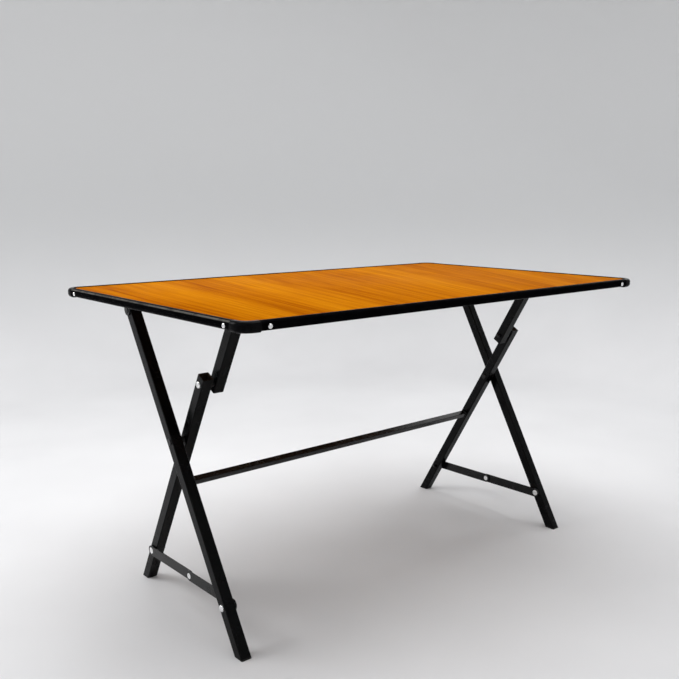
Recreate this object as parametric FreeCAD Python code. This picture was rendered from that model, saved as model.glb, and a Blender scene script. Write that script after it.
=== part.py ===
import FreeCAD, Part
import math
import os
from FreeCAD import Vector

# Folding table: a framed wood-grain top on two end frames of crossed square tubes.
# Millimetres. The origin is on the floor under the middle of the top, +X runs along
# the long side, +Y points to the back and +Z points up. The left end is at -X and
# the right end is its mirror image.

# ---- driving dimensions -------------------------------------------------------------
TABLE_LENGTH = 1219.0
TABLE_WIDTH = 762.0
TABLE_HEIGHT = 730.0

RIM_HEIGHT = 19.0
RIM_WIDTH = 14.0
RIM_WALL = 1.2
RIM_NOSE_RADIUS = 8.0
RIM_SEAM_RADIUS = 2.0
RIM_LIP_WIDTH = 12.0
RIM_LIP_THICKNESS = 1.5
BOARD_GAP = 0.4
BOARD_RECESS = 1.6

CORNER_RADIUS = 32.0
CORNER_ARM = 40.0
CORNER_OVERSIZE = 0.8
CORNER_RISE = 0.3
CORNER_DROP = 2.0
SPIGOT_LENGTH = 30.0
SPIGOT_CLEARANCE = 0.15
CORNER_RIVET_OFFSET = 58.5
CORNER_RIVET_SINK = 0.8
CORNER_RIVET_DROP = 1.5

TUBE_SIZE = 25.4
TUBE_WALL = 1.6
TUBE_CORNER = 2.5
OUTER_LEG_X = -537.6
LEG_PITCH = 34.0
LEG_TILT = 30.0
CROSS_Y = 16.0
CROSS_Z = 420.0
HINGE_Z = 692.0
HINGE_OVERRUN = 10.0
LINK_OVERLAP = 20.0
FOOT_SOLE = 3.0
FOOT_INSERT_TOP = 24.0
FOOT_CLEARANCE = 0.1

STRETCHER_SIZE = 16.0
STRETCHER_WALL = 1.2
STRETCHER_CORNER = 1.5
STRETCHER_DROP = 150.0

STAY_WIDTH = 25.0
STAY_THICKNESS = 2.4
OUTER_STAY_DROP = 374.0
INNER_STAY_DROP = 380.0
STAY_HEAD_ROOM = 1.6
STAY_LAYER_GAP = 0.4

BRACKET_SHEET = 2.0
BRACKET_LENGTH = 60.0
BRACKET_EAR_RADIUS = 12.0
BRACKET_SIDE_GAP = 0.6
BRACKET_SCREW_X = 9.0
BRACKET_SCREW_Y = 22.0

PIN_RADIUS = 4.0
BOLT_RADIUS = 3.0
RUNNING_CLEARANCE = 0.05
MOVING_GAP = 0.3
THIN_HEAD_RADIUS = 7.0
THIN_HEAD_HEIGHT = 1.2
HINGE_HEAD_RADIUS = 7.0
HINGE_HEAD_HEIGHT = 1.5
CROSS_HEAD_RADIUS = 7.5
CROSS_HEAD_HEIGHT = 2.0
BRIGHT_HEAD_RADIUS = 7.5
BRIGHT_HEAD_HEIGHT = 4.0
NUT_ACROSS_FLATS = 10.0
NUT_HEIGHT = 5.0
NUT_CAP_RADIUS = 4.4
NUT_CAP_HEIGHT = 8.0
BOLT_END = 1.0
WASHER_RADIUS = 8.0
WASHER_CLEARANCE = 0.1
COUNTERSINK_RADIUS = 8.0
SCREW_RADIUS = 2.0
SCREW_HEAD_RADIUS = 3.6
SCREW_HEAD_HEIGHT = 2.2
SCREW_BITE = 11.0
RIVET_RADIUS = 2.4
RIVET_HEAD_RADIUS = 4.6
RIVET_HEAD_HEIGHT = 2.4
RIVET_LENGTH = 9.0
LONG_RAIL_SCREWS = 5
SHORT_RAIL_SCREWS = 3

# ---- derived dimensions -------------------------------------------------------------
HALF_TUBE = TUBE_SIZE / 2
INNER_LEG_X = OUTER_LEG_X + LEG_PITCH
LINK_X = INNER_LEG_X + LEG_PITCH
TILT = math.radians(LEG_TILT)

RIM_TOP = TABLE_HEIGHT
RIM_BOTTOM = TABLE_HEIGHT - RIM_HEIGHT
CORNER_RIVET_Z = (RIM_TOP + RIM_BOTTOM) / 2 - CORNER_RIVET_DROP
BOARD_BOTTOM = RIM_BOTTOM + RIM_LIP_THICKNESS
BOARD_TOP = RIM_TOP - BOARD_RECESS

# The hinge line of the outer leg, the hinge line of the upper link and the crossing
# form an equilateral triangle. The link bolt halves its front side, which lets the
# legs fold flat against the top.
HINGE_REACH = (HINGE_Z - CROSS_Z) / math.cos(TILT)
LINK_REACH = HINGE_REACH / 2
LEG_HINGE_Y = CROSS_Y + HINGE_REACH * math.sin(TILT)
LINK_HINGE_Y = CROSS_Y - HINGE_REACH * math.sin(TILT)
FLOOR_REACH = CROSS_Z / math.cos(TILT)

# Layers across the gap between the outer and the inner leg, counted from the outer leg.
OUTER_STAY_X = OUTER_LEG_X + HALF_TUBE + STAY_HEAD_ROOM
INNER_STAY_X = OUTER_STAY_X + STAY_THICKNESS + STAY_LAYER_GAP

# ---- building blocks ----------------------------------------------------------------
X_AXIS = Vector(1, 0, 0)
Y_AXIS = Vector(0, 1, 0)
Z_AXIS = Vector(0, 0, 1)
ORIGIN = Vector(0, 0, 0)
TOLERANCE = 1e-6
PARALLEL = 0.999
OVERSHOOT = 1.0
CROWN_SHARE = 0.7


def edges_along(shape, axis):
    return [edge for edge in shape.Edges if abs(edge.tangentAt(edge.FirstParameter).dot(axis)) > PARALLEL]


def box(low, high):
    size = [high[i] - low[i] for i in range(3)]
    return Part.makeBox(size[0], size[1], size[2], Vector(*low))


def rod_x(radius, x_low, x_high, y, z):
    return Part.makeCylinder(radius, x_high - x_low, Vector(x_low, y, z), X_AXIS)


def rod_z(radius, z_low, z_high, x, y):
    return Part.makeCylinder(radius, z_high - z_low, Vector(x, y, z_low), Z_AXIS)


def ring_x(radius, hole_radius, x_low, x_high, y, z):
    return rod_x(radius, x_low, x_high, y, z).cut(rod_x(hole_radius, x_low, x_high, y, z))


def button_head(radius, height, face, outward, direction):
    """A low rounded head whose flat side is centred on the point 'face'."""
    head = Part.makeCylinder(radius, height, face, direction * outward)
    crown = face + direction * outward * height
    rim_edges = [edge for edge in head.Edges if (edge.CenterOfMass - crown).Length < TOLERANCE]
    return head.makeFillet(CROWN_SHARE * min(height, radius), rim_edges)


def head_x(radius, height, x, y, z, outward):
    return button_head(radius, height, Vector(x, y, z), outward, X_AXIS)


def cap_nut(face, y, z):
    """A closed nut on the face at x = 'face': a hexagon under a dome that covers the bolt's end."""
    corner_radius = NUT_ACROSS_FLATS / math.sqrt(3)
    corners = []
    for step in range(7):
        angle = math.radians(60 * step)
        corner_y = y + corner_radius * math.cos(angle)
        corner_z = z + corner_radius * math.sin(angle)
        corners.append(Vector(face, corner_y, corner_z))
    hexagon = Part.Face(Part.makePolygon(corners)).extrude(X_AXIS * NUT_HEIGHT)
    return hexagon.fuse(head_x(NUT_CAP_RADIUS, NUT_CAP_HEIGHT, face, y, z, 1)).removeSplitter()


def rounded_prism(size, radius, z_low, z_high):
    """A square bar along Z, centred on the Z axis, with rounded long edges."""
    half = size / 2
    prism = box((-half, -half, z_low), (half, half, z_high))
    return prism.makeFillet(radius, edges_along(prism, Z_AXIS))


def square_tube(size, wall, radius, z_low, z_high):
    outside = rounded_prism(size, radius, z_low, z_high)
    inside = rounded_prism(size - 2 * wall, radius - wall / 2, z_low - OVERSHOOT, z_high + OVERSHOOT)
    return outside.cut(inside)


def leg_point(reach, lean):
    """The (y, z) point on a leg's centre line, 'reach' above the crossing.

    lean is +1 for the outer leg, whose top is at the back, and -1 for the inner leg.
    """
    return CROSS_Y + lean * reach * math.sin(TILT), CROSS_Z + reach * math.cos(TILT)


def on_leg(shape, x, lean):
    """Moves a shape built along Z, with the crossing at its origin, onto a leg."""
    placed = shape.copy()
    placed.rotate(ORIGIN, X_AXIS, -lean * LEG_TILT)
    placed.translate(Vector(x, CROSS_Y, CROSS_Z))
    return placed


def drill_leg(tube, x, lean, radii_by_reach):
    for reach, radius in radii_by_reach:
        y, z = leg_point(reach, lean)
        tube = tube.cut(rod_x(radius, x - TUBE_SIZE, x + TUBE_SIZE, y, z))
    return tube


def slab(z_low, z_high):
    return box((-TABLE_LENGTH, -TABLE_LENGTH, z_low), (TABLE_LENGTH, TABLE_LENGTH, z_high))


def mirrored(shape):
    return shape.mirror(ORIGIN, X_AXIS)


def both_ends(shape):
    return Part.makeCompound([shape, mirrored(shape)])


# ---- tabletop -----------------------------------------------------------------------
def nose_section(outset, inset, z_low, z_high, shrink):
    """The rim's outline as a face in the YZ plane, from y = -outset to y = inset.

    Both outer corners are rounded, and so is the upper inner corner beside the board.
    'shrink' is how much smaller those radii are than on the outside of a rail.
    """
    bar = Part.Face(Part.makePolygon([
        Vector(0, -outset, z_low),
        Vector(0, inset, z_low),
        Vector(0, inset, z_high),
        Vector(0, -outset, z_high),
        Vector(0, -outset, z_low),
    ])).extrude(X_AXIS)
    nose = [edge for edge in edges_along(bar, X_AXIS) if edge.CenterOfMass.y < -outset + TOLERANCE]
    bar = bar.makeFillet(RIM_NOSE_RADIUS - shrink, nose)
    seam = []
    for edge in edges_along(bar, X_AXIS):
        middle = edge.CenterOfMass
        if middle.y > inset - TOLERANCE and middle.z > z_high - TOLERANCE:
            seam.append(edge)
    bar = bar.makeFillet(RIM_SEAM_RADIUS - shrink, seam)
    for face in bar.Faces:
        if abs(face.CenterOfMass.x) < TOLERANCE:
            return face
    raise ValueError("the section has no end face")


def rail_rivet_places(length):
    reach = length / 2 - (CORNER_RIVET_OFFSET - CORNER_ARM)
    return (-reach, reach)


def rail_rivet(x):
    """A rivet through the nose of a rail into the corner's spigot, at y = 0."""
    sink = Vector(x, CORNER_RIVET_SINK, CORNER_RIVET_Z)
    head = button_head(RIVET_HEAD_RADIUS, RIVET_HEAD_HEIGHT, sink, -1, Y_AXIS)
    shank = Part.makeCylinder(RIVET_RADIUS, RIVET_LENGTH, sink, Y_AXIS)
    return head.fuse(shank).removeSplitter()


def rim_rail(length):
    """A hollow rail along X, centred on x = 0, with its outer face at y = 0."""
    outside = nose_section(0, RIM_WIDTH, RIM_BOTTOM, RIM_TOP, 0)
    back_wall = RIM_WIDTH - RIM_WALL
    inside = nose_section(-RIM_WALL, back_wall, RIM_BOTTOM + RIM_WALL, RIM_TOP - RIM_WALL, RIM_WALL)
    rail = outside.cut(inside).extrude(Vector(length, 0, 0))
    lip = box((0, RIM_WIDTH, RIM_BOTTOM), (length, RIM_WIDTH + RIM_LIP_WIDTH, BOARD_BOTTOM))
    rail = rail.fuse(lip).removeSplitter()
    rail.translate(Vector(-length / 2, 0, 0))
    for x in rail_rivet_places(length):
        rail = rail.cut(rail_rivet(x))
    return rail


def corner_piece():
    """The front left corner: its sharp outer corner would be at x = 0, y = 0."""
    body_face = nose_section(CORNER_OVERSIZE, RIM_WIDTH, RIM_BOTTOM - CORNER_DROP, RIM_TOP + CORNER_RISE, 0)
    bend_face = body_face.copy()
    bend_face.translate(Vector(CORNER_RADIUS, 0, 0))
    bend = bend_face.revolve(Vector(CORNER_RADIUS, CORNER_RADIUS, 0), Z_AXIS, -90)
    arm = bend_face.extrude(Vector(CORNER_ARM - CORNER_RADIUS, 0, 0))

    margin = RIM_WALL + SPIGOT_CLEARANCE
    spigot_face = nose_section(-margin, RIM_WIDTH - margin, RIM_BOTTOM + margin, RIM_TOP - margin, margin)
    spigot = spigot_face.extrude(Vector(SPIGOT_LENGTH, 0, 0))
    spigot.translate(Vector(CORNER_ARM, 0, 0))
    drill = rail_rivet(CORNER_RIVET_OFFSET)

    long_arm = arm.fuse(spigot).cut(drill)
    short_arm = long_arm.mirror(ORIGIN, Vector(1, -1, 0))
    return bend.fuse([long_arm, short_arm]).removeSplitter()


def rim_sides():
    """Name, turn about Z, distance from the centre and length of each rail."""
    long_rail = TABLE_LENGTH - 2 * CORNER_ARM
    short_rail = TABLE_WIDTH - 2 * CORNER_ARM
    return (
        ("front", 0, TABLE_WIDTH / 2, long_rail),
        ("right", 90, TABLE_LENGTH / 2, short_rail),
        ("back", 180, TABLE_WIDTH / 2, long_rail),
        ("left", 270, TABLE_LENGTH / 2, short_rail),
    )


def to_side(shape, turn, distance):
    placed = shape.copy()
    placed.translate(Vector(0, -distance, 0))
    placed.rotate(ORIGIN, Z_AXIS, turn)
    return placed


def screw_up(x, y, head_face):
    """A wood screw driven upwards, with its head under the height 'head_face'."""
    head = button_head(SCREW_HEAD_RADIUS, SCREW_HEAD_HEIGHT, Vector(x, y, head_face), -1, Z_AXIS)
    return head.fuse(rod_z(SCREW_RADIUS, head_face, BOARD_BOTTOM + SCREW_BITE, x, y)).removeSplitter()


def rim_screws():
    screws = []
    inset = RIM_WIDTH + RIM_LIP_WIDTH / 2
    for _, turn, distance, length in rim_sides():
        count = LONG_RAIL_SCREWS if length > TABLE_WIDTH else SHORT_RAIL_SCREWS
        spacing = length / count
        for index in range(count):
            x = (index - (count - 1) / 2) * spacing
            screws.append(to_side(screw_up(x, inset, RIM_BOTTOM), turn, distance))
    return screws


def bracket(x, y):
    """An inverted U of sheet steel under the board that carries one hinge pin."""
    half_inside = HALF_TUBE + BRACKET_SIDE_GAP
    half_outside = half_inside + BRACKET_SHEET
    plate_bottom = BOARD_BOTTOM - BRACKET_SHEET
    shape = box((x - half_outside, y - BRACKET_LENGTH / 2, plate_bottom),
                (x + half_outside, y + BRACKET_LENGTH / 2, BOARD_BOTTOM))
    for low in (x - half_outside, x + half_inside):
        high = low + BRACKET_SHEET
        ear = box((low, y - BRACKET_EAR_RADIUS, HINGE_Z), (high, y + BRACKET_EAR_RADIUS, plate_bottom))
        shape = shape.fuse([ear, rod_x(BRACKET_EAR_RADIUS, low, high, y, HINGE_Z)])
    shape = shape.removeSplitter()
    return shape.cut(rod_x(PIN_RADIUS + RUNNING_CLEARANCE, x - TUBE_SIZE, x + TUBE_SIZE, y, HINGE_Z))


def bracket_screws(x, y):
    plate_bottom = BOARD_BOTTOM - BRACKET_SHEET
    screws = []
    for dx in (-BRACKET_SCREW_X, BRACKET_SCREW_X):
        for dy in (-BRACKET_SCREW_Y, BRACKET_SCREW_Y):
            screws.append(screw_up(x + dx, y + dy, plate_bottom))
    return screws


def hinge_pin(x, y):
    reach = HALF_TUBE + BRACKET_SIDE_GAP + BRACKET_SHEET
    pin = rod_x(PIN_RADIUS, x - reach, x + reach, y, HINGE_Z)
    for outward in (-1, 1):
        pin = pin.fuse(head_x(HINGE_HEAD_RADIUS, HINGE_HEAD_HEIGHT, x + outward * reach, y, HINGE_Z, outward))
    return pin.removeSplitter()


def top_board(screws):
    inset = RIM_WIDTH + BOARD_GAP
    half_length = TABLE_LENGTH / 2 - inset
    half_width = TABLE_WIDTH / 2 - inset
    board = box((-half_length, -half_width, BOARD_BOTTOM), (half_length, half_width, BOARD_TOP))
    board = board.makeFillet(CORNER_RADIUS - inset, edges_along(board, Z_AXIS))
    for screw in screws:
        board = board.cut(screw)
    return board


def build_tabletop(parts):
    rivets = []
    rail_screws = rim_screws()
    all_rail_screws = Part.makeCompound(rail_screws)
    for name, turn, distance, length in rim_sides():
        rail = to_side(rim_rail(length), turn, distance)
        parts["rim_" + name] = rail.cut(all_rail_screws)
        for x in rail_rivet_places(length):
            rivets.append(to_side(rail_rivet(x), turn, distance))
    parts["corner_rivets"] = Part.makeCompound(rivets)
    parts["rim_screws"] = all_rail_screws

    corners = (("front_left", -1, -1), ("front_right", 1, -1), ("back_right", 1, 1), ("back_left", -1, 1))
    for quarter, (name, x_sign, y_sign) in enumerate(corners):
        corner = corner_piece()
        corner.rotate(ORIGIN, Z_AXIS, 90 * quarter)
        corner.translate(Vector(x_sign * TABLE_LENGTH / 2, y_sign * TABLE_WIDTH / 2, 0))
        parts["corner_" + name] = corner

    plate_screws = []
    for name, x, y in (("leg", OUTER_LEG_X, LEG_HINGE_Y), ("link", LINK_X, LINK_HINGE_Y)):
        end_screws = bracket_screws(x, y)
        plate = bracket(x, y).cut(Part.makeCompound(end_screws))
        parts[name + "_bracket_left"] = plate
        parts[name + "_bracket_right"] = mirrored(plate)
        parts[name + "_hinge_pins"] = both_ends(hinge_pin(x, y))
        for screw in end_screws:
            plate_screws += [screw, mirrored(screw)]
    parts["bracket_screws"] = Part.makeCompound(plate_screws)
    parts["top_board"] = top_board(rail_screws + plate_screws)


# ---- legs ---------------------------------------------------------------------------
def leg_tube(x, lean, top_reach, holes):
    tube = square_tube(TUBE_SIZE, TUBE_WALL, TUBE_CORNER, -FLOOR_REACH - TUBE_SIZE, top_reach)
    tube = on_leg(tube, x, lean).cut(slab(-TUBE_SIZE * 2, FOOT_SOLE))
    return drill_leg(tube, x, lean, holes)


def foot_plug(x, lean):
    """A plastic end plug with a flat sole that follows the tube's outline."""
    reach = (-FLOOR_REACH - TUBE_SIZE, -FLOOR_REACH + 2 * TUBE_SIZE)
    outline = on_leg(rounded_prism(TUBE_SIZE, TUBE_CORNER, *reach), x, lean)
    insert_size = TUBE_SIZE - 2 * (TUBE_WALL + FOOT_CLEARANCE)
    insert = on_leg(rounded_prism(insert_size, TUBE_CORNER - TUBE_WALL / 2, *reach), x, lean)
    sole = outline.common(slab(0, FOOT_SOLE))
    return sole.fuse(insert.common(slab(0, FOOT_INSERT_TOP))).removeSplitter()


def outer_leg():
    holes = (
        (0, PIN_RADIUS + RUNNING_CLEARANCE),
        (HINGE_REACH, PIN_RADIUS + RUNNING_CLEARANCE),
        (-OUTER_STAY_DROP, BOLT_RADIUS + RUNNING_CLEARANCE),
    )
    return leg_tube(OUTER_LEG_X, 1, HINGE_REACH + HINGE_OVERRUN, holes)


def inner_leg():
    holes = (
        (0, PIN_RADIUS + RUNNING_CLEARANCE),
        (LINK_REACH, BOLT_RADIUS + RUNNING_CLEARANCE),
        (-INNER_STAY_DROP, BOLT_RADIUS + RUNNING_CLEARANCE),
    )
    return leg_tube(INNER_LEG_X, -1, LINK_REACH + LINK_OVERLAP, holes)


def upper_link():
    low_end = LINK_REACH - LINK_OVERLAP
    high_end = HINGE_REACH + HINGE_OVERRUN
    tube = square_tube(TUBE_SIZE, TUBE_WALL, TUBE_CORNER, low_end, high_end)
    holes = (
        (LINK_REACH, BOLT_RADIUS + RUNNING_CLEARANCE),
        (HINGE_REACH, PIN_RADIUS + RUNNING_CLEARANCE),
    )
    return drill_leg(on_leg(tube, LINK_X, -1), LINK_X, -1, holes)


def stretcher():
    reach = -INNER_LEG_X - HALF_TUBE
    tube = square_tube(STRETCHER_SIZE, STRETCHER_WALL, STRETCHER_CORNER, -reach, reach)
    tube.rotate(ORIGIN, Y_AXIS, 90)
    tube.translate(Vector(0, 0, -STRETCHER_DROP))
    return on_leg(tube, 0, -1)


def cross_rivet():
    """The rivet at the crossing. It is fixed in the outer leg and turns in the inner leg."""
    y, z = leg_point(0, 1)
    outer_face = OUTER_LEG_X - HALF_TUBE
    inner_face = INNER_LEG_X + HALF_TUBE + MOVING_GAP
    shank = rod_x(PIN_RADIUS, outer_face, inner_face, y, z)
    heads = [head_x(CROSS_HEAD_RADIUS, CROSS_HEAD_HEIGHT, outer_face, y, z, -1),
             head_x(CROSS_HEAD_RADIUS, CROSS_HEAD_HEIGHT, inner_face, y, z, 1)]
    return shank.fuse(heads).removeSplitter()


def cross_spacer():
    y, z = leg_point(0, 1)
    return ring_x(WASHER_RADIUS, PIN_RADIUS + WASHER_CLEARANCE, OUTER_LEG_X + HALF_TUBE,
                  INNER_LEG_X - HALF_TUBE - MOVING_GAP, y, z)


def link_bolt():
    """The inner leg's half of the link bolt: its head and its shank up to mid-gap."""
    y, z = leg_point(LINK_REACH, -1)
    outer_face = INNER_LEG_X - HALF_TUBE
    middle = (INNER_LEG_X + LINK_X) / 2 - MOVING_GAP
    head = head_x(BRIGHT_HEAD_RADIUS, BRIGHT_HEAD_HEIGHT, outer_face, y, z, -1)
    return head.fuse(rod_x(BOLT_RADIUS, outer_face, middle, y, z)).removeSplitter()


def link_bolt_spacer():
    y, z = leg_point(LINK_REACH, -1)
    middle = (INNER_LEG_X + LINK_X) / 2 - MOVING_GAP
    return ring_x(WASHER_RADIUS, BOLT_RADIUS + WASHER_CLEARANCE, INNER_LEG_X + HALF_TUBE, middle, y, z)


def link_nut():
    """The upper link's half of the link bolt: its end and its cap nut."""
    y, z = leg_point(LINK_REACH, -1)
    middle = (INNER_LEG_X + LINK_X) / 2 + MOVING_GAP
    inner_face = LINK_X + HALF_TUBE
    return cap_nut(inner_face, y, z).fuse(rod_x(BOLT_RADIUS, middle, inner_face, y, z)).removeSplitter()


def link_nut_spacer():
    y, z = leg_point(LINK_REACH, -1)
    middle = (INNER_LEG_X + LINK_X) / 2 + MOVING_GAP
    return ring_x(WASHER_RADIUS, BOLT_RADIUS + WASHER_CLEARANCE, middle, LINK_X - HALF_TUBE, y, z)


def build_legs(parts):
    pieces = {
        "outer_leg": outer_leg(),
        "outer_foot": foot_plug(OUTER_LEG_X, 1),
        "cross_rivet": cross_rivet(),
        "cross_spacer": cross_spacer(),
        "inner_leg": inner_leg(),
        "inner_foot": foot_plug(INNER_LEG_X, -1),
        "upper_link": upper_link(),
        "link_nut": link_nut(),
        "link_nut_spacer": link_nut_spacer(),
    }
    for name, shape in pieces.items():
        parts[name + "_left"] = shape
        parts[name + "_right"] = mirrored(shape)
    parts["stretcher"] = stretcher()
    parts["link_bolts"] = both_ends(link_bolt())
    parts["link_bolt_spacers"] = both_ends(link_bolt_spacer())


# ---- folding stays ------------------------------------------------------------------
def stay_pivots():
    """The (y, z) points of the outer pivot, the middle joint and the inner pivot.

    The two bars differ in length by as much as their pivots differ in distance from
    the crossing, so that they lie along the legs when the legs are closed.
    """
    outer = leg_point(-OUTER_STAY_DROP, 1)
    inner = leg_point(-INNER_STAY_DROP, -1)
    span = math.hypot(inner[0] - outer[0], inner[1] - outer[1])
    outer_length = (span - (INNER_STAY_DROP - OUTER_STAY_DROP)) / 2
    share = outer_length / span
    middle = (outer[0] + share * (inner[0] - outer[0]), outer[1] + share * (inner[1] - outer[1]))
    return outer, middle, inner


def flat_bar(start, end, x_low):
    """A round-ended flat bar between two (y, z) points, drilled at both."""
    length = math.hypot(end[0] - start[0], end[1] - start[1])
    half = STAY_WIDTH / 2
    bar = box((0, 0, -half), (STAY_THICKNESS, length, half))
    for reach in (0, length):
        bar = bar.fuse(rod_x(half, 0, STAY_THICKNESS, reach, 0))
    bar = bar.removeSplitter()
    for reach in (0, length):
        hole = rod_x(BOLT_RADIUS + RUNNING_CLEARANCE, -OVERSHOOT, STAY_THICKNESS + OVERSHOOT, reach, 0)
        bar = bar.cut(hole)
    bar.rotate(ORIGIN, X_AXIS, math.degrees(math.atan2(end[1] - start[1], end[0] - start[0])))
    bar.translate(Vector(x_low, start[0], start[1]))
    return bar


def countersink(face, outward, y, z, growth):
    """The cone of a flush end whose wide side is on the face at x = 'face'."""
    depth = STAY_THICKNESS / 2
    start = Vector(face, y, z)
    return Part.makeCone(COUNTERSINK_RADIUS + growth, BOLT_RADIUS + growth, depth, start, X_AXIS * -outward)


def outer_stay_rivet(y, z):
    """Fixed in the outer leg. Its inner end is flush with the stay."""
    outer_face = OUTER_LEG_X - HALF_TUBE
    end = OUTER_STAY_X + STAY_THICKNESS
    head = head_x(BRIGHT_HEAD_RADIUS, BRIGHT_HEAD_HEIGHT, outer_face, y, z, -1)
    shank = rod_x(BOLT_RADIUS, outer_face, end, y, z)
    return head.fuse([shank, countersink(end, 1, y, z, 0)]).removeSplitter()


def inner_stay_bolt(y, z):
    """Fixed in the inner leg. Its flush head holds the stay and clears the outer stay when folded."""
    end = INNER_LEG_X + HALF_TUBE + NUT_HEIGHT + BOLT_END
    shank = rod_x(BOLT_RADIUS, INNER_STAY_X, end, y, z)
    return shank.fuse(countersink(INNER_STAY_X, -1, y, z, 0)).removeSplitter()


def build_stays(parts):
    outer, middle, inner = stay_pivots()
    outer_end = OUTER_STAY_X + STAY_THICKNESS
    inner_end = INNER_STAY_X + STAY_THICKNESS
    outer_sink = countersink(outer_end, 1, *outer, RUNNING_CLEARANCE)
    inner_sink = countersink(INNER_STAY_X, -1, *inner, RUNNING_CLEARANCE)
    washer_hole = BOLT_RADIUS + WASHER_CLEARANCE
    bolt = inner_stay_bolt(*inner)
    nut = cap_nut(INNER_LEG_X + HALF_TUBE, *inner).cut(bolt)
    rivet_head = head_x(THIN_HEAD_RADIUS, THIN_HEAD_HEIGHT, OUTER_STAY_X, *middle, -1)
    rivet_tail = head_x(THIN_HEAD_RADIUS, THIN_HEAD_HEIGHT, inner_end, *middle, 1)
    pieces = {
        "outer_stay": flat_bar(outer, middle, OUTER_STAY_X).cut(outer_sink),
        "outer_stay_rivet": outer_stay_rivet(*outer),
        "outer_stay_washer": ring_x(WASHER_RADIUS, washer_hole, OUTER_LEG_X + HALF_TUBE,
                                    OUTER_STAY_X - MOVING_GAP, *outer),
        "stay_rivet_head": rivet_head.fuse(rod_x(BOLT_RADIUS, OUTER_STAY_X, outer_end, *middle)),
        "inner_stay": flat_bar(middle, inner, INNER_STAY_X).cut(inner_sink),
        "stay_rivet_tail": rivet_tail.fuse(rod_x(BOLT_RADIUS, INNER_STAY_X, inner_end, *middle)),
    }
    for name, shape in pieces.items():
        parts[name + "_left"] = shape.removeSplitter()
        parts[name + "_right"] = mirrored(shape.removeSplitter())
    washer = ring_x(WASHER_RADIUS, washer_hole, inner_end + MOVING_GAP, INNER_LEG_X - HALF_TUBE, *inner)
    parts["inner_stay_bolts"] = both_ends(bolt)
    parts["inner_stay_nuts"] = both_ends(nut)
    parts["inner_stay_washers"] = both_ends(washer)


# ---- export -------------------------------------------------------------------------
def main():
    parts = {}
    build_tabletop(parts)
    build_legs(parts)
    build_stays(parts)
    os.makedirs("parts", exist_ok=True)
    for name, shape in parts.items():
        shape.exportStep(os.path.join("parts", name + ".step"))
        print(name, "solids", len(shape.Solids), "valid", shape.isValid(), "volume", round(shape.Volume, 1))


main()
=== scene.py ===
import math

import bmesh
import bpy
from mathutils import Matrix, Vector


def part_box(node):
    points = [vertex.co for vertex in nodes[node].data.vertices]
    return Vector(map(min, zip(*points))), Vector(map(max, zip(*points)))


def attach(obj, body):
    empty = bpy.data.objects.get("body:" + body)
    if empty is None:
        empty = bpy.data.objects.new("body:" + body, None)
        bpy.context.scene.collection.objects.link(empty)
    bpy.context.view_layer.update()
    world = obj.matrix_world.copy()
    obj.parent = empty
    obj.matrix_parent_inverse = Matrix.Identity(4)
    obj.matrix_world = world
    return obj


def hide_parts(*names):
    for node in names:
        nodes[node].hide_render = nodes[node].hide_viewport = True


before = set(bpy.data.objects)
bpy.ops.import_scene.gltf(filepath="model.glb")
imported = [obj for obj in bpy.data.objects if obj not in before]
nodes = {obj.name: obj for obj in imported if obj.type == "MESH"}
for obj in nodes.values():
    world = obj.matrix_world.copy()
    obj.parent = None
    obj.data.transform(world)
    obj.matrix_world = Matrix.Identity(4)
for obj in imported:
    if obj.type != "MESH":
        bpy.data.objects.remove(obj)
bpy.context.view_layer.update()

MM = 0.001

# The radius at which a turned profile ends on its axis.
TIP = 0.01 * MM

# Sizes of the CAD parts that the shapes and surfaces below follow.
LEG_LEAN = math.radians(30)
CROSS_Y, CROSS_Z = 16 * MM, 420 * MM
OUTER_LEG_X, INNER_LEG_X, LINK_X = 537.6 * MM, 503.6 * MM, 469.6 * MM
TUBE_INSIDE = 11.6 * MM
BOLT_RADIUS = 3.0 * MM
BOLT_END = 1.0 * MM
BOLT_HEAD_RADIUS, BOLT_HEAD_HEIGHT = 7.5 * MM, 4.0 * MM
FLUSH_HEAD_RADIUS, FLUSH_HEAD_HEIGHT = 8.0 * MM, 1.2 * MM
NUT_WIDTH, NUT_HEIGHT = 10 * MM, 5 * MM
NUT_CAP_RADIUS, NUT_CAP_HEIGHT = 4.4 * MM, 8 * MM
SCREW_RADIUS, SCREW_HEAD_RADIUS, SCREW_HEAD_HEIGHT = 2.0 * MM, 3.6 * MM, 2.2 * MM
RIVET_RADIUS, RIVET_LENGTH = 2.4 * MM, 8.0 * MM
RIVET_HEAD_RADIUS, RIVET_HEAD_HEIGHT = 4.6 * MM, 2.4 * MM
STRETCHER_HALF, STRETCHER_CORNER = 8 * MM, 1.5 * MM
BOARD_CORNER_RADIUS = 17.6 * MM
SHEET_THICKNESS, PAPER_THICKNESS = 0.8 * MM, 0.3 * MM
RIM_END_X = 606 * MM


# ---- shaders ------------------------------------------------------------------------
def linear(*srgb):
    """An 8-bit sRGB colour as the linear RGBA that shaders take."""
    parts = [c / 255 for c in srgb]
    return tuple(c / 12.92 if c <= 0.04045 else ((c + 0.055) / 1.055) ** 2.4 for c in parts) + (1.0,)


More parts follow.
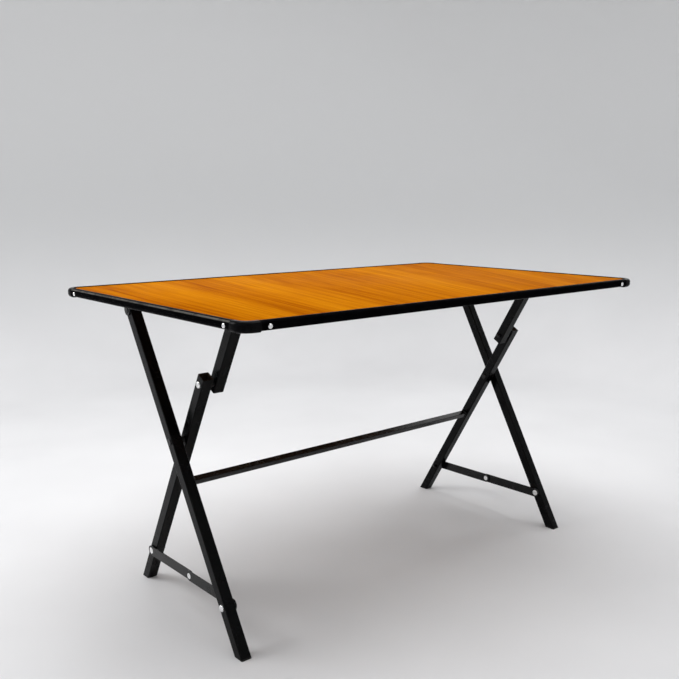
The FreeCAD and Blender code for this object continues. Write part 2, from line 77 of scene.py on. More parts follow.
class Shader:
    """One node material. An input may be a plain value or another node's output."""

    def __init__(self, name):
        self.material = bpy.data.materials.new(name)
        self.material.use_nodes = True
        self.tree = self.material.node_tree
        self.surface = self.tree.nodes["Principled BSDF"]
        self.point = self.add("ShaderNodeTexCoord").outputs["Object"]

    def plug(self, socket, value):
        if isinstance(value, bpy.types.NodeSocket):
            self.tree.links.new(value, socket)
        else:
            socket.default_value = value

    def add(self, kind, inputs=None, **settings):
        made = self.tree.nodes.new(kind)
        for key, value in settings.items():
            setattr(made, key, value)
        for key, value in (inputs or {}).items():
            self.plug(made.inputs[key], value)
        return made

    def math(self, operation, *values):
        return self.add("ShaderNodeMath", dict(enumerate(values)), operation=operation).outputs[0]

    def axis(self, name):
        return self.add("ShaderNodeSeparateXYZ", {0: self.point}).outputs[name]

    def vector(self, x, y, z=0.0):
        return self.add("ShaderNodeCombineXYZ", {0: x, 1: y, 2: z}).outputs[0]

    def noise(self, scale, detail=2.0, roughness=0.5, at=None, stretch=(1, 1, 1)):
        mapped = self.add("ShaderNodeMapping", {"Vector": at or self.point, "Scale": stretch})
        inputs = {"Vector": mapped.outputs[0], "Scale": scale, "Detail": detail, "Roughness": roughness}
        return self.add("ShaderNodeTexNoise", inputs).outputs["Fac"]

    def remap(self, value, low, high, to_low=0.0, to_high=1.0, curve="SMOOTHSTEP"):
        inputs = {0: value, 1: low, 2: high, 3: to_low, 4: to_high}
        return self.add("ShaderNodeMapRange", inputs, interpolation_type=curve).outputs[0]

    def ramp(self, factor, stops):
        made = self.add("ShaderNodeValToRGB", {0: factor})
        elements = made.color_ramp.elements
        while len(elements) < len(stops):
            elements.new(0.5)
        for element, (position, colour) in zip(elements, stops):
            element.position = position
            element.color = colour
        return made.outputs[0]

    def mix(self, factor, first, second):
        return self.add("ShaderNodeMix", {0: factor, 6: first, 7: second}, data_type="RGBA").outputs[2]

    def bump(self, height, depth, below=None):
        inputs = {"Height": height, "Distance": depth, "Strength": 1.0}
        if below:
            inputs["Normal"] = below
        return self.add("ShaderNodeBump", inputs).outputs[0]

    def edges(self, radius):
        """1 along outside and inside edges, 0 on flat faces."""
        rounded = self.add("ShaderNodeBevel", {"Radius": radius}, samples=4).outputs[0]
        true = self.add("ShaderNodeNewGeometry").outputs["True Normal"]
        likeness = self.add("ShaderNodeVectorMath", {0: rounded, 1: true}, operation="DOT_PRODUCT")
        return self.remap(likeness.outputs["Value"], 0.995, 0.90)

    def upward(self):
        """The Z part of the surface's own normal, in the object's axes."""
        normal = self.add("ShaderNodeTexCoord").outputs["Normal"]
        return self.add("ShaderNodeSeparateXYZ", {0: normal}).outputs[2]

    def finish(self, **inputs):
        for name, value in inputs.items():
            self.plug(self.surface.inputs[name.replace("_", " ")], value)
        return self.material


def grain_coordinates(s):
    """Across and along the wood grain. The grain runs from back to front and fans out."""
    skew, fan = 0.318, 0.36   # lean of the middle fibre, and how fast the fibres spread
    x, y = s.axis("X"), s.axis("Y")
    top = s.math("SUBTRACT", x, s.math("MULTIPLY", y, skew))
    across = s.math("DIVIDE", top, s.math("ADD", s.math("MULTIPLY", y, fan), 1.0))
    return across, y


def wood_laminate():
    s = Shader("wood_laminate")
    across, along = grain_coordinates(s)
    wander = s.noise(2.2, 1.0, at=s.vector(across, s.math("MULTIPLY", along, 0.7)))
    across = s.math("ADD", across, s.math("MULTIPLY", s.math("SUBTRACT", wander, 0.5), 0.012))
    flow = s.vector(across, along)

    tones = [0.40, 0.36, 0.62, 0.80, 0.34, 0.44, 0.78, 0.62, 0.38, 0.46, 0.50, 0.42, 0.50, 0.70, 0.76, 0.44,
             0.42, 0.46, 0.40, 0.52, 0.72, 0.50]
    stops = [(i / (len(tones) - 1), (tone, tone, tone, 1.0)) for i, tone in enumerate(tones)]
    bands = s.ramp(s.remap(across, -0.62, 0.62, curve="LINEAR"), stops)
    streaks = s.noise(1.0, 3.0, 0.55, at=flow, stretch=(62, 1.1, 1))
    lines = s.noise(1.0, 3.0, 0.6, at=flow, stretch=(260, 3.2, 1))
    fibres = s.noise(1.0, 2.0, 0.6, at=flow, stretch=(1100, 14, 1))
    cloud = s.noise(2.6, 2.0, 0.5)

    def weighed(value, weight):
        return s.math("MULTIPLY", s.math("SUBTRACT", value, 0.5), weight)

    tone = s.math("ADD", 0.5, weighed(bands, 0.70))
    for value, weight in ((streaks, 1.00), (lines, 1.00), (fibres, 0.50), (cloud, 0.28)):
        tone = s.math("ADD", tone, weighed(value, weight))
    colour = s.ramp(tone, [
        (0.00, linear(117, 52, 1)),
        (0.25, linear(149, 76, 2)),
        (0.50, linear(174, 100, 5)),
        (0.75, linear(188, 115, 8)),
        (1.00, linear(203, 132, 17)),
    ])
    veins = s.noise(1.0, 3.0, 0.6, at=flow, stretch=(120, 1.5, 1))
    colour = s.mix(s.math("MULTIPLY", s.remap(veins, 0.55, 0.70), 0.55), colour, linear(144, 72, 3))
    pores = s.noise(1.0, 1.0, 0.5, at=flow, stretch=(1500, 34, 1))
    pore_mask = s.remap(pores, 0.70, 0.80)
    colour = s.mix(s.math("MULTIPLY", pore_mask, 0.35), colour, linear(138, 70, 8))
    edge_mask = s.remap(s.upward(), 0.93, 0.6)
    colour = s.mix(edge_mask, colour, linear(214, 166, 104))
    rough = s.math("ADD", 0.36, weighed(s.noise(9, 3, 0.6), 0.10))
    rough = s.math("ADD", rough, weighed(fibres, 0.10))
    relief = s.math("SUBTRACT", s.math("MULTIPLY", fibres, 0.5), pore_mask)
    return s.finish(Base_Color=colour, Roughness=rough, Normal=s.bump(relief, 0.00003),
                    Specular_IOR_Level=0.0002)


def board_core():
    s = Shader("board_core_fibre")
    fibre = s.noise(900, 4, 0.7, stretch=(1, 1, 4))
    stops = [(0.25, linear(128, 92, 56)), (0.55, linear(172, 131, 86)), (0.8, linear(196, 160, 114))]
    colour = s.ramp(fibre, stops)
    normal = s.bump(fibre, 0.0002)
    return s.finish(Base_Color=colour, Roughness=0.85, Normal=normal, Specular_IOR_Level=0.2)


def board_backing():
    s = Shader("board_backing_paper")
    fibre = s.noise(700, 4, 0.65, stretch=(0.15, 1, 1))
    blotch = s.noise(7, 3, 0.6)
    tone = s.math("ADD", s.math("MULTIPLY", fibre, 0.6), s.math("MULTIPLY", blotch, 0.4))
    stops = [(0.3, linear(118, 84, 52)), (0.5, linear(140, 102, 66)), (0.7, linear(158, 120, 80))]
    colour = s.ramp(tone, stops)
    rough = s.remap(fibre, 0.3, 0.7, 0.62, 0.78)
    normal = s.bump(fibre, 0.00006)
    return s.finish(Base_Color=colour, Roughness=rough, Normal=normal, Specular_IOR_Level=0.3)


def dust(s, colour, amount):
    """A faint settled film on faces that look up."""
    film = s.math("MULTIPLY", s.remap(s.noise(38, 4, 0.65), 0.42, 0.75), s.remap(s.upward(), 0.5, 1.0))
    return s.mix(s.math("MULTIPLY", film, amount), colour, linear(120, 116, 110)), film


def beyond_board(s):
    """How far a point lies outside the board's edges."""
    low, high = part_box("top_board")
    x = s.math("SUBTRACT", s.math("ABSOLUTE", s.axis("X")), high.x)
    y = s.math("SUBTRACT", s.math("ABSOLUTE", s.axis("Y")), high.y)
    return s.math("MAXIMUM", x, y)


def rim_gloss():
    """Gloss black. The left rail has a grey painted highlight along the upper turn of its nose, made patchy
    with noise.
    """
    s = Shader("rim_gloss_black")
    flow = s.noise(24, 3, 0.6)
    colour = s.ramp(flow, [(0.3, linear(3, 3, 4)), (0.7, linear(8, 8, 10))])
    lean = s.upward()
    # Painted highlight: a grey band painted on the upper turn of the left rail's nose, where light glints,
    # made patchy with noise.
    painted_highlight = s.math("MULTIPLY", s.remap(lean, 0.45, 0.62), s.remap(lean, 0.93, 0.80))
    painted_highlight = s.math("MULTIPLY", painted_highlight, s.remap(beyond_board(s), 6 * MM, 8 * MM))
    painted_highlight = s.math("MULTIPLY", painted_highlight, s.remap(s.axis("X"), 8 * MM - RIM_END_X, -RIM_END_X))
    painted_highlight = s.math("MULTIPLY", painted_highlight, s.remap(s.noise(34, 4, 0.65), 0.35, 0.62, 0.4, 1.0))
    colour = s.mix(painted_highlight, colour, linear(92, 90, 86))
    colour, film = dust(s, colour, 0.03)
    scuffs = s.remap(s.noise(130, 3, 0.7, stretch=(0.12, 0.12, 1)), 0.62, 0.74)
    rough = s.math("ADD", s.remap(flow, 0.3, 0.7, 0.15, 0.24), s.math("MULTIPLY", scuffs, 0.16))
    rough = s.math("ADD", rough, s.math("MULTIPLY", film, 0.12))
    peel = s.noise(420, 2, 0.5)
    normal = s.bump(peel, 0.00004)
    return s.finish(Base_Color=colour, Roughness=rough, Normal=normal, Specular_IOR_Level=0.002)


def inside_tube(s, lean, x_middle):
    """1 inside a tube that crosses its end frame's middle with a lean of +1 or -1, else 0."""
    y = s.math("SUBTRACT", s.axis("Y"), CROSS_Y)
    z = s.math("SUBTRACT", s.axis("Z"), CROSS_Z)
    along_y = s.math("MULTIPLY", y, math.cos(LEG_LEAN))
    along_z = s.math("MULTIPLY", z, lean * math.sin(LEG_LEAN))
    depth = s.math("SUBTRACT", along_y, along_z)
    side = s.math("SUBTRACT", s.math("ABSOLUTE", s.axis("X")), x_middle)
    reach = s.math("MAXIMUM", s.math("ABSOLUTE", depth), s.math("ABSOLUTE", side))
    return s.math("LESS_THAN", reach, TUBE_INSIDE)


def powder_coat(name, dark, light, level, tube=None):
    """Satin black with worn edges. 'tube' is the lean and the x of a tube whose bare inside shows."""
    s = Shader(name)
    mottle = s.noise(30, 4, 0.6)
    colour = s.ramp(mottle, [(0.3, dark), (0.7, light)])
    colour, film = dust(s, colour, 0.05)
    edge = s.edges(0.0012)
    chips_from = 0.60 if tube else 0.58
    chips = s.math("MULTIPLY", edge, s.remap(s.noise(160, 4, 0.75), chips_from, chips_from + 0.08))
    colour = s.mix(s.math("MULTIPLY", edge, 0.10), colour, linear(70, 70, 72))
    colour = s.mix(s.math("MULTIPLY", chips, 0.5), colour, linear(112, 108, 104))
    rough = s.math("ADD", s.remap(mottle, 0.3, 0.7, 0.20, 0.29), s.math("MULTIPLY", film, 0.1))
    if tube:
        inside = inside_tube(s, *tube)
        scale = s.noise(210, 4, 0.7)
        stops = [(0.3, linear(30, 22, 18)), (0.6, linear(62, 48, 40)), (0.8, linear(92, 66, 48))]
        colour = s.mix(inside, colour, s.ramp(scale, stops))
        rough = s.math("ADD", rough, s.math("MULTIPLY", inside, 0.3))
    soft = s.bump(s.noise(120, 2, 0.5), 0.00005)
    normal = s.bump(s.noise(850, 2, 0.55), 0.00004, soft)
    return s.finish(Base_Color=colour, Roughness=rough, Normal=normal, Specular_IOR_Level=level)


def moulded_plastic(name, dark, light, roughness, grain, level):
    s = Shader(name)
    cloud = s.noise(45, 3, 0.6)
    colour = s.ramp(cloud, [(0.3, dark), (0.7, light)])
    colour, film = dust(s, colour, 0.05)
    edge = s.edges(0.0008)
    colour = s.mix(s.math("MULTIPLY", edge, 0.10), colour, linear(60, 60, 62))
    rough = s.math("ADD", s.remap(cloud, 0.3, 0.7, *roughness), s.math("MULTIPLY", film, 0.1))
    normal = s.bump(s.noise(1300, 3, 0.6), grain)
    return s.finish(Base_Color=colour, Roughness=rough, Normal=normal, Specular_IOR_Level=level)


def bright_zinc():
    s = Shader("bright_zinc")
    cloud = s.noise(160, 4, 0.65)
    stops = [(0.3, linear(232, 233, 234)), (0.55, linear(250, 250, 250)), (0.8, linear(240, 242, 245))]
    colour = s.ramp(cloud, stops)
    edge = s.edges(0.0005)
    colour = s.mix(s.math("MULTIPLY", edge, 0.3), colour, linear(250, 250, 250))
    rough = s.remap(s.noise(420, 3, 0.6), 0.3, 0.7, 0.20, 0.34)
    scratch = s.noise(2600, 2, 0.5, stretch=(1, 0.1, 1))
    return s.finish(Base_Color=colour, Metallic=1.0, Roughness=rough, Normal=s.bump(scratch, 0.00001))


# ---- mesh helpers -------------------------------------------------------------------
class Solid:
    """Vertices and faces gathered for one piece."""

    def __init__(self):
        self.points = []
        self.faces = []

    def add(self, points, faces):
        first = len(self.points)
        self.points += [Vector(p) for p in points]
        self.faces += [tuple(first + i for i in face) for face in faces]
        return self

    def add_mesh(self, mesh, matrix):
        return self.add([matrix @ v.co for v in mesh.vertices], [tuple(p.vertices) for p in mesh.polygons])

    def mesh(self, name):
        made = bpy.data.meshes.new(name)
        made.from_pydata(self.points, [], self.faces)
        work = bmesh.new()
        work.from_mesh(made)
        bmesh.ops.remove_doubles(work, verts=work.verts, dist=1e-7)
        bmesh.ops.recalc_face_normals(work, faces=work.faces)
        work.to_mesh(made)
        work.free()
        return made


def piece(name, mesh, body, material, sharp=32, replaced=()):
    """A finished piece that rides on a body, and stands for the CAD nodes in 'replaced'."""
    for polygon in mesh.polygons:
        polygon.use_smooth = True
    mesh.set_sharp_from_angle(angle=math.radians(sharp))
    mesh.materials.clear()
    mesh.materials.append(material)
    made = bpy.data.objects.new(name, mesh)
    bpy.context.scene.collection.objects.link(made)
    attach(made, body)
    if replaced:
        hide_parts(*replaced)
    return made


def ring_faces(rings, count, closed=False):
    """Quads between rings of 'count' points each."""
    faces = []
    for ring in range(rings if closed else rings - 1):
        low, high = ring * count, ((ring + 1) % rings) * count
        for i in range(count):
            j = (i + 1) % count
            faces.append((low + i, low + j, high + j, high + i))
    return faces


def revolved(profile, segments):
    """One ring of points about Z for each (radius, height) pair."""
    points = []
    for radius, height in profile:
        for i in range(segments):
            turn = 2 * math.pi * i / segments
            points.append((radius * math.cos(turn), radius * math.sin(turn), height))
    return points


def lathe(profile, segments=40):
    """A solid of revolution about Z from (radius, height) pairs, closed at both ends."""
    faces = ring_faces(len(profile), segments)
    faces.append(tuple(range(segments)))
    faces.append(tuple(range((len(profile) - 1) * segments, len(profile) * segments)))
    return Solid().add(revolved(profile, segments), faces)


def prism(outline, low, high, taper=1.0):
    """A closed bar along Z over a flat outline. 'taper' scales its lower end."""
    count = len(outline)
    points = [(x * taper, y * taper, low) for x, y in outline] + [(x, y, high) for x, y in outline]
    faces = ring_faces(2, count) + [tuple(range(count)), tuple(range(count, 2 * count))]
    return Solid().add(points, faces)


def hexagon(across_flats):
    radius = across_flats / math.sqrt(3)
    turns = [math.radians(60 * i) for i in range(6)]
    return [(radius * math.cos(turn), radius * math.sin(turn)) for turn in turns]


def rectangle(width, depth):
    x, y = width / 2, depth / 2
    return [(-x, -y), (x, -y), (x, y), (-x, y)]


def boolean(first, second, operation):
    """The exact boolean of two meshes, as a new mesh."""
    objects = [bpy.data.objects.new("tool", mesh) for mesh in (first, second)]
    for o in objects:
        bpy.context.scene.collection.objects.link(o)
    modifier = objects[0].modifiers.new("cut", "BOOLEAN")
    modifier.operation = operation
    modifier.solver = "EXACT"
    modifier.object = objects[1]
    graph = bpy.context.evaluated_depsgraph_get()
    result = bpy.data.meshes.new_from_object(objects[0].evaluated_get(graph))
    for o in objects:
        bpy.data.objects.remove(o)
    return result


def islands(node):
    """The (low, high) box of each separate solid in a CAD node."""
    work = bmesh.new()
    work.from_mesh(nodes[node].data)
    bmesh.ops.remove_doubles(work, verts=work.verts, dist=1e-6)
    left = set(work.verts)
    boxes = []
    while left:
        stack = [left.pop()]
        low, high = stack[0].co.copy(), stack[0].co.copy()
        while stack:
            vertex = stack.pop()
            low = Vector(map(min, low, vertex.co))
            high = Vector(map(max, high, vertex.co))
            for edge in vertex.link_edges:
                other = edge.other_vert(vertex)
                if other in left:
                    left.remove(other)
                    stack.append(other)
        boxes.append((low, high))
    work.free()
    return sorted(boxes, key=lambda b: tuple(round(c, 5) for c in b[0]))


def facing(origin, direction, turn=0.0):
    """Puts a shape built along +Z at an origin, with +Z along a direction."""
    rotation = Vector(direction).to_track_quat("Z", "Y").to_matrix().to_4x4()
    return Matrix.Translation(origin) @ rotation @ Matrix.Rotation(turn, 4, "Z")


# ---- fasteners ----------------------------------------------------------------------
def dome(radius, height, base=0.28, steps=9):
    """The (radius, height) pairs of a domed head, from its foot to its crown."""
    pairs = [(radius, 0.0), (radius, height * base)]
    for i in range(1, steps + 1):
        angle = math.pi / 2 * i / steps
        pairs.append((max(radius * math.cos(angle), TIP), height * (base + (1 - base) * math.sin(angle))))
    return pairs


def cross_head_screw(head_radius, head_height, shank_radius, shank_length):
    profile = [(TIP, -shank_length), (shank_radius * 0.3, -shank_length)]
    profile += [(shank_radius, -shank_length * 0.75), (shank_radius, -0.2 * MM)]
    profile += dome(head_radius, head_height, 0.2)
    mesh = lathe(profile).mesh("screw")
    for width, depth in ((head_radius * 1.25, head_radius * 0.27), (head_radius * 0.27, head_radius * 1.25)):
        slot = prism(rectangle(width, depth), head_height * 0.2, head_height * 1.5, 0.6).mesh("slot")
        mesh = boolean(mesh, slot, "DIFFERENCE")
    return mesh


def socket_head(radius, height, key):
    """A domed head with a hexagon socket. Its underside is at z = 0."""
    head = lathe([(TIP, 0.0)] + dome(radius, height, 0.35)).mesh("head")
    return boolean(head, prism(hexagon(key), height * 0.35, height * 2).mesh("key"), "DIFFERENCE")


def flush_head(radius, shank_radius, height, key):
    """A countersunk head with a shallow hexagon socket. Its flat top is at z = height."""
    head = lathe([(TIP, 0.0), (shank_radius, 0.0), (radius, height), (TIP, height)]).mesh("head")
    return boolean(head, prism(hexagon(key), height * 0.35, height * 2).mesh("key"), "DIFFERENCE")


def blind_rivet(radius, height, shank_radius, shank_length):
    hole = radius * 0.30
    profile = [(TIP, -shank_length), (shank_radius, -shank_length), (shank_radius, 0.0)]
    profile += [(radius, 0.0), (radius, height * 0.22), (radius * 0.93, height * 0.52)]
    profile += [(radius * 0.74, height * 0.82), (radius * 0.5, height * 0.97), (hole * 1.15, height)]
    profile += [(hole, height * 0.93), (hole, height * 0.50)]
    profile += [(hole * 0.8, height * 0.56), (TIP, height * 0.60)]
    return lathe(profile).mesh("rivet")


def cap_nut(across_flats, height, cap_radius, cap_height):
    """A hexagon nut with chamfered faces under a domed cap. Its seat is at z = 0."""
    corner = across_flats / math.sqrt(3)
    flat = across_flats / 2 * 0.97
    drop = (corner - flat) * 0.45
    wide = corner * 1.01
    block = prism(hexagon(across_flats), 0, height).mesh("block")
    outline = [(TIP, 0), (flat, 0), (wide, drop), (wide, height - drop), (flat, height), (TIP, height)]
    barrel = lathe(outline, 60).mesh("barrel")
    solid = Solid().add_mesh(boolean(block, barrel, "INTERSECT"), Matrix.Identity(4))
    cap = [(cap_radius, height * 0.8)]
    cap += [(r, z + height) for r, z in dome(cap_radius, cap_height - height, 0.2)]
    return solid.add_mesh(lathe(cap).mesh("cap"), Matrix.Identity(4)).mesh("nut")


def scattered(mesh, matrices, name):
    solid = Solid()
    for matrix in matrices:
        solid.add_mesh(mesh, matrix)
    return solid.mesh(name)


def upright_screws(node):
    """Screws with their heads down, one for each solid of a CAD node."""
    boxes = islands(node)
    length = (boxes[0][1] - boxes[0][0]).z
    screw = cross_head_screw(SCREW_HEAD_RADIUS, SCREW_HEAD_HEIGHT, SCREW_RADIUS, length - SCREW_HEAD_HEIGHT)
    places = []
    for index, (low, high) in enumerate(boxes):
        middle = (low + high) / 2
        turn = math.radians((index * 47) % 90)
        places.append(facing((middle.x, middle.y, low.z + SCREW_HEAD_HEIGHT), (0, 0, -1), turn))
    return scattered(screw, places, node)


def rivet_places(node):
    """The head seats of rivets that point away from the table's middle, along X or along Y."""
    places = []
    for low, high in islands(node):
        size, middle = high - low, (low + high) / 2
        axis = 0 if size.x > size.y else 1
        outward = Vector((0, 0, 0))
        outward[axis] = math.copysign(1, middle[axis])
        face = middle.copy()
        edge = high[axis] if outward[axis] > 0 else low[axis]
        face[axis] = edge - outward[axis] * RIVET_HEAD_HEIGHT
        places.append(facing(face, outward))
    return places


def round_bar(radius, length):
    return lathe([(radius, 0.0), (radius, length)], 28).mesh("shank")


def ends_along_x(low, high):
    """The middle of a box, its two ends in x from the outside inwards, and the inward sign."""
    middle = (low + high) / 2
    inward = -math.copysign(1, middle.x)
    outer, inner = (low.x, high.x) if inward > 0 else (high.x, low.x)
    return middle, outer, inner, inward


def bolts_along_x(node, head, head_height, turn):
    """A head and a shank for each solid of a CAD node, with the heads outside."""
    bolts = Solid()
    for low, high in islands(node):
        middle, outer, inner, inward = ends_along_x(low, high)
        seat = Vector((outer + inward * head_height, middle.y, middle.z))
        bolts.add_mesh(head, facing(seat, (-inward, 0, 0), turn))
        bolts.add_mesh(round_bar(BOLT_RADIUS, abs(inner - seat.x)), facing(seat, (inward, 0, 0)))
    return bolts


def build_fasteners(zinc, satin):
    def finish(name, mesh, body, material, replaced):
        piece(name, mesh, body, material, replaced=[replaced])

    for name, node in (("rim_cross_screws", "rim_screws"), ("bracket_cross_screws", "bracket_screws")):
        finish(name, upright_screws(node), "top", zinc, node)

    rivet = blind_rivet(RIVET_HEAD_RADIUS, RIVET_HEAD_HEIGHT, RIVET_RADIUS, RIVET_LENGTH)
    rivets = scattered(rivet, rivet_places("corner_rivets"), "corner_blind_rivets")
    finish("corner_blind_rivets", rivets, "top", zinc, "corner_rivets")

    head = socket_head(BOLT_HEAD_RADIUS, BOLT_HEAD_HEIGHT, 4.6 * MM)
    bolts = bolts_along_x("link_bolts", head, BOLT_HEAD_HEIGHT, 0.3)
    finish("link_socket_bolts", bolts.mesh("bolts"), "inner_frame", zinc, "link_bolts")

    nut = cap_nut(NUT_WIDTH, NUT_HEIGHT, NUT_CAP_RADIUS, NUT_CAP_HEIGHT)
    for side in ("left", "right"):
        middle, outer, inner, inward = ends_along_x(*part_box("link_nut_" + side))
        seat = inner - inward * NUT_CAP_HEIGHT
        solid = Solid().add_mesh(nut, facing((seat, middle.y, middle.z), (inward, 0, 0), 0.2))
        shank = round_bar(BOLT_RADIUS, abs(seat - outer))
        solid.add_mesh(shank, facing((outer, middle.y, middle.z), (inward, 0, 0)))
        finish("link_cap_nut_" + side, solid.mesh("nut"), "link_" + side + "_body",
               satin, "link_nut_" + side)

    head = flush_head(FLUSH_HEAD_RADIUS, BOLT_RADIUS, FLUSH_HEAD_HEIGHT, 4.0 * MM)
    bolts = bolts_along_x("inner_stay_bolts", head, FLUSH_HEAD_HEIGHT, 0.5)
    finish("stay_socket_bolts", bolts.mesh("bolts"), "inner_frame", zinc, "inner_stay_bolts")
    nuts = Solid()
    for low, high in islands("inner_stay_bolts"):
        middle, outer, inner, inward = ends_along_x(low, high)
        seat = Vector((inner - inward * (NUT_HEIGHT + BOLT_END), middle.y, middle.z))
        nuts.add_mesh(nut, facing(seat, (inward, 0, 0), 0.35))
    finish("stay_cap_nuts", nuts.mesh("nuts"), "inner_frame", satin, "inner_stay_nuts")


# ---- tabletop -----------------------------------------------------------------------
def rounded_loop(half_x, half_y, radius, z, steps=14):
    points = []
    for corner, (sx, sy) in enumerate(((1, 1), (-1, 1), (-1, -1), (1, -1))):
        for i in range(steps + 1):
            angle = math.radians(90 * corner + 90 * i / steps)
            points.append((sx * (half_x - radius) + radius * math.cos(angle),
                           sy * (half_y - radius) + radius * math.sin(angle), z))
    return points


def rounded_slab(half_x, half_y, radius, levels):
    """A closed plate of stacked outlines. Each level is (inset, height)."""
    points = []
    for inset, z in levels:
        points += rounded_loop(half_x - inset, half_y - inset, radius - inset, z)
    count = len(points) // len(levels)
    faces = ring_faces(len(levels), count)
    faces.append(tuple(range(count)))
    faces.append(tuple(range(len(points) - count, len(points))))
    return Solid().add(points, faces)


def build_board(laminate, core, backing):
    """A laminate sheet on a fibre core with a paper back, in place of the plain board."""
    low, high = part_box("top_board")
    sheet = high.z - SHEET_THICKNESS
    paper = low.z + PAPER_THICKNESS
    layers = (
        ("board_laminate_sheet", laminate,
         [(0.25 * MM, sheet), (0.0, sheet + 0.15 * MM), (0.0, high.z - 0.35 * MM),
          (0.12 * MM, high.z - 0.12 * MM), (0.45 * MM, high.z)]),
        ("board_fibre_core", core, [(0.35 * MM, paper), (0.35 * MM, sheet)]),
        ("board_paper_back", backing, [(0.2 * MM, low.z), (0.1 * MM, paper)]),
    )
    for name, material, levels in layers:
        mesh = rounded_slab(high.x, high.y, BOARD_CORNER_RADIUS, levels).mesh(name)
        replaced = ["top_board"] if name == "board_laminate_sheet" else ()
        piece(name, mesh, "top", material, sharp=50, replaced=replaced)


# ---- welds --------------------------------------------------------------------------
def weld_bead(centre, lean, half, corner, outward, bead=1.7 * MM):
    """A rippled fillet weld round the end of a square tube that meets a face square on."""
    across = Vector((0, math.cos(lean), math.sin(lean)))
    up = Vector((0, -math.sin(lean), math.cos(lean)))
    side = half - corner
    points = []
    count, ring = 176, 12
    for i in range(count):
        share = 4 * i / count
        quarter, local = int(share), share % 1.0
        turn = math.radians(90 * quarter)
        length, arc = 2 * side, corner * math.pi / 2
        travelled = local * (length + arc)
        if travelled < length:
            flat = Vector((half, -side + travelled))
            normal = Vector((1.0, 0.0))
        else:
            angle = (travelled - length) / corner
            normal = Vector((math.cos(angle), math.sin(angle)))
            flat = Vector((side, side)) + normal * corner
        spin = Matrix.Rotation(turn, 2)
        flat, normal = spin @ flat, spin @ normal
        ripple = 1 + 0.13 * math.sin(2 * math.pi * i / 5.5) + 0.06 * math.sin(i * 0.37 + 1.1)
        place = centre + across * flat.x + up * flat.y
        out = across * normal.x + up * normal.y
        for k in range(ring):
            angle = 2 * math.pi * k / ring
            spread = out * math.cos(angle) + Vector((outward, 0, 0)) * math.sin(angle)
            points.append(place + spread * bead * ripple)
    return points, ring_faces(count, ring, closed=True)


def build_welds(satin):
    """A bead where each end of the stretcher meets an inner leg."""
    low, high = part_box("stretcher")
    middle = (low + high) / 2
    solid = Solid()
    for sign, x in ((1, low.x), (-1, high.x)):
        centre = Vector((x + sign * 0.3 * MM, middle.y, middle.z))
        solid.add(*weld_bead(centre, LEG_LEAN, STRETCHER_HALF, STRETCHER_CORNER, sign))
    mesh = solid.mesh("stretcher_welds")
    piece("stretcher_welds", mesh, "inner_frame", satin, sharp=80)


# ---- surfaces of the CAD nodes ------------------------------------------------------
def dress(material, *prefixes):
    """Gives a material to every CAD node whose name starts with one of the prefixes."""
    for name, node in nodes.items():
        if name.startswith(prefixes):
            node.data.materials.clear()
            node.data.materials.append(material)


def build_materials():
    zinc = bright_zinc()
    satin = powder_coat("frame_satin_black", linear(7, 7, 8), linear(14, 14, 15), 0.25)
    dress(zinc, "inner_stay_washers", "outer_stay_rivet", "outer_stay_washer", "stay_rivet")
    dress(rim_gloss(), "rim_front", "rim_back", "rim_left", "rim_right")
    dress(satin, "leg_bracket", "link_bracket", "leg_hinge_pins", "link_hinge_pins", "stretcher",
          "cross_rivet", "outer_stay_left", "outer_stay_right", "inner_stay_left", "inner_stay_right")
    tubes = (("outer_leg", 1, OUTER_LEG_X), ("inner_leg", -1, INNER_LEG_X), ("upper_link", -1, LINK_X))
    for tube, lean, x_middle in tubes:
        coat = powder_coat(tube + "_satin", linear(2, 2, 2), linear(6, 6, 7), 0.08, (lean, x_middle))
        dress(coat, tube)
    cap = moulded_plastic("corner_plastic", linear(8, 8, 9), linear(15, 15, 17), (0.10, 0.18), 0.00001, 0.03)
    dress(cap, "corner_front", "corner_back")
    plug = moulded_plastic("foot_plastic", linear(14, 14, 14), linear(24, 24, 24), (0.42, 0.55), 0.00006, 0.2)
    dress(plug, "outer_foot", "inner_foot", "cross_spacer", "link_bolt_spacers", "link_nut_spacer")
    build_board(wood_laminate(), board_core(), board_backing())
    build_fasteners(zinc, satin)
    build_welds(satin)


# ---- studio -------------------------------------------------------------------------
def stage_material():
    """Pale and a little cloudy, and greyer above the floor."""
    s = Shader("studio_floor")
    pale = s.ramp(s.noise(1.4, 3, 0.5), [(0.3, (0.70, 0.70, 0.71, 1)), (0.7, (0.76, 0.76, 0.77, 1))])
    colour = s.mix(s.remap(s.axis("Z"), 0.05, 0.9), pale, (0.57, 0.575, 0.58, 1))
    return s.finish(Base_Color=colour, Roughness=0.9, Specular_IOR_Level=0.1)


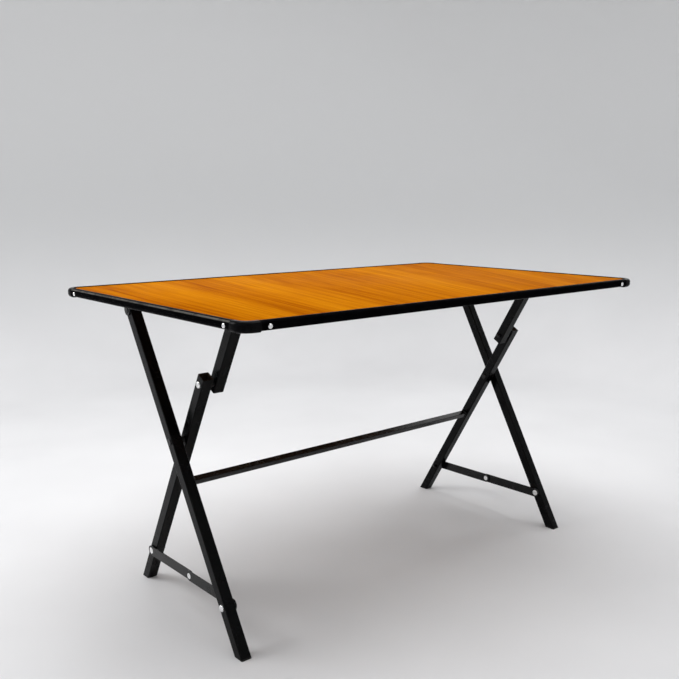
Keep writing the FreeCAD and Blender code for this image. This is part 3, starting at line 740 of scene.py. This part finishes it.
def build_stage():
    """A pale round floor that curves up into a pale wall."""
    wall_radius, cove, wall_height = 3.2, 1.0, 4.0
    segments, steps = 96, 12
    profile = [(0.001, 0.0), (wall_radius - cove, 0.0)]
    for i in range(1, steps + 1):
        angle = math.pi / 2 * i / steps
        profile.append((wall_radius - cove + cove * math.sin(angle), cove - cove * math.cos(angle)))
    profile.append((wall_radius, wall_height))
    points = revolved(profile, segments)
    mesh = bpy.data.meshes.new("studio_floor")
    faces = ring_faces(len(profile), segments) + [tuple(range(segments))]
    mesh.from_pydata(points, [], faces)
    for polygon in mesh.polygons:
        polygon.use_smooth = True
    mesh.materials.append(stage_material())
    floor = bpy.data.objects.new("studio_floor", mesh)
    bpy.context.scene.collection.objects.link(floor)


def area_light(name, location, target, size, power):
    light = bpy.data.lights.new(name, "AREA")
    light.shape = "RECTANGLE"
    light.size, light.size_y = size
    light.energy = power
    made = bpy.data.objects.new(name, light)
    made.location = location
    aim = Vector(target) - Vector(location)
    made.rotation_euler = aim.to_track_quat("-Z", "Y").to_euler()
    bpy.context.scene.collection.objects.link(made)


def build_lights():
    area_light("overhead_softbox", (0.2, 0.1, 3.3), (0.0, 0.0, 0.0), (3.4, 3.0), 102)
    area_light("back_left_softbox", (-2.1, 1.7, 2.3), (0.0, 0.0, 0.5), (1.6, 1.4), 42)
    area_light("right_softbox", (2.5, 0.2, 1.9), (0.2, 0.0, 0.3), (1.2, 1.2), 9)
    world = bpy.data.worlds.new("studio_world")
    world.use_nodes = True
    background = world.node_tree.nodes["Background"]
    background.inputs["Color"].default_value = (0.80, 0.82, 0.86, 1)
    background.inputs["Strength"].default_value = 0.08
    bpy.context.scene.world = world


def build_camera():
    data = bpy.data.cameras.new("camera")
    data.lens = 42.99
    data.sensor_width = 36
    data.shift_x = -0.0264
    data.shift_y = 0.1212
    camera = bpy.data.objects.new("camera", data)
    camera.location = (-1.34835, -1.52887, 0.929)
    camera.rotation_euler = (math.radians(90 - 15.315), 0, math.radians(-40.918))
    bpy.context.scene.collection.objects.link(camera)
    bpy.context.scene.camera = camera


bpy.context.scene.view_settings.view_transform = "Standard"
build_stage()
build_lights()
build_camera()
build_materials()
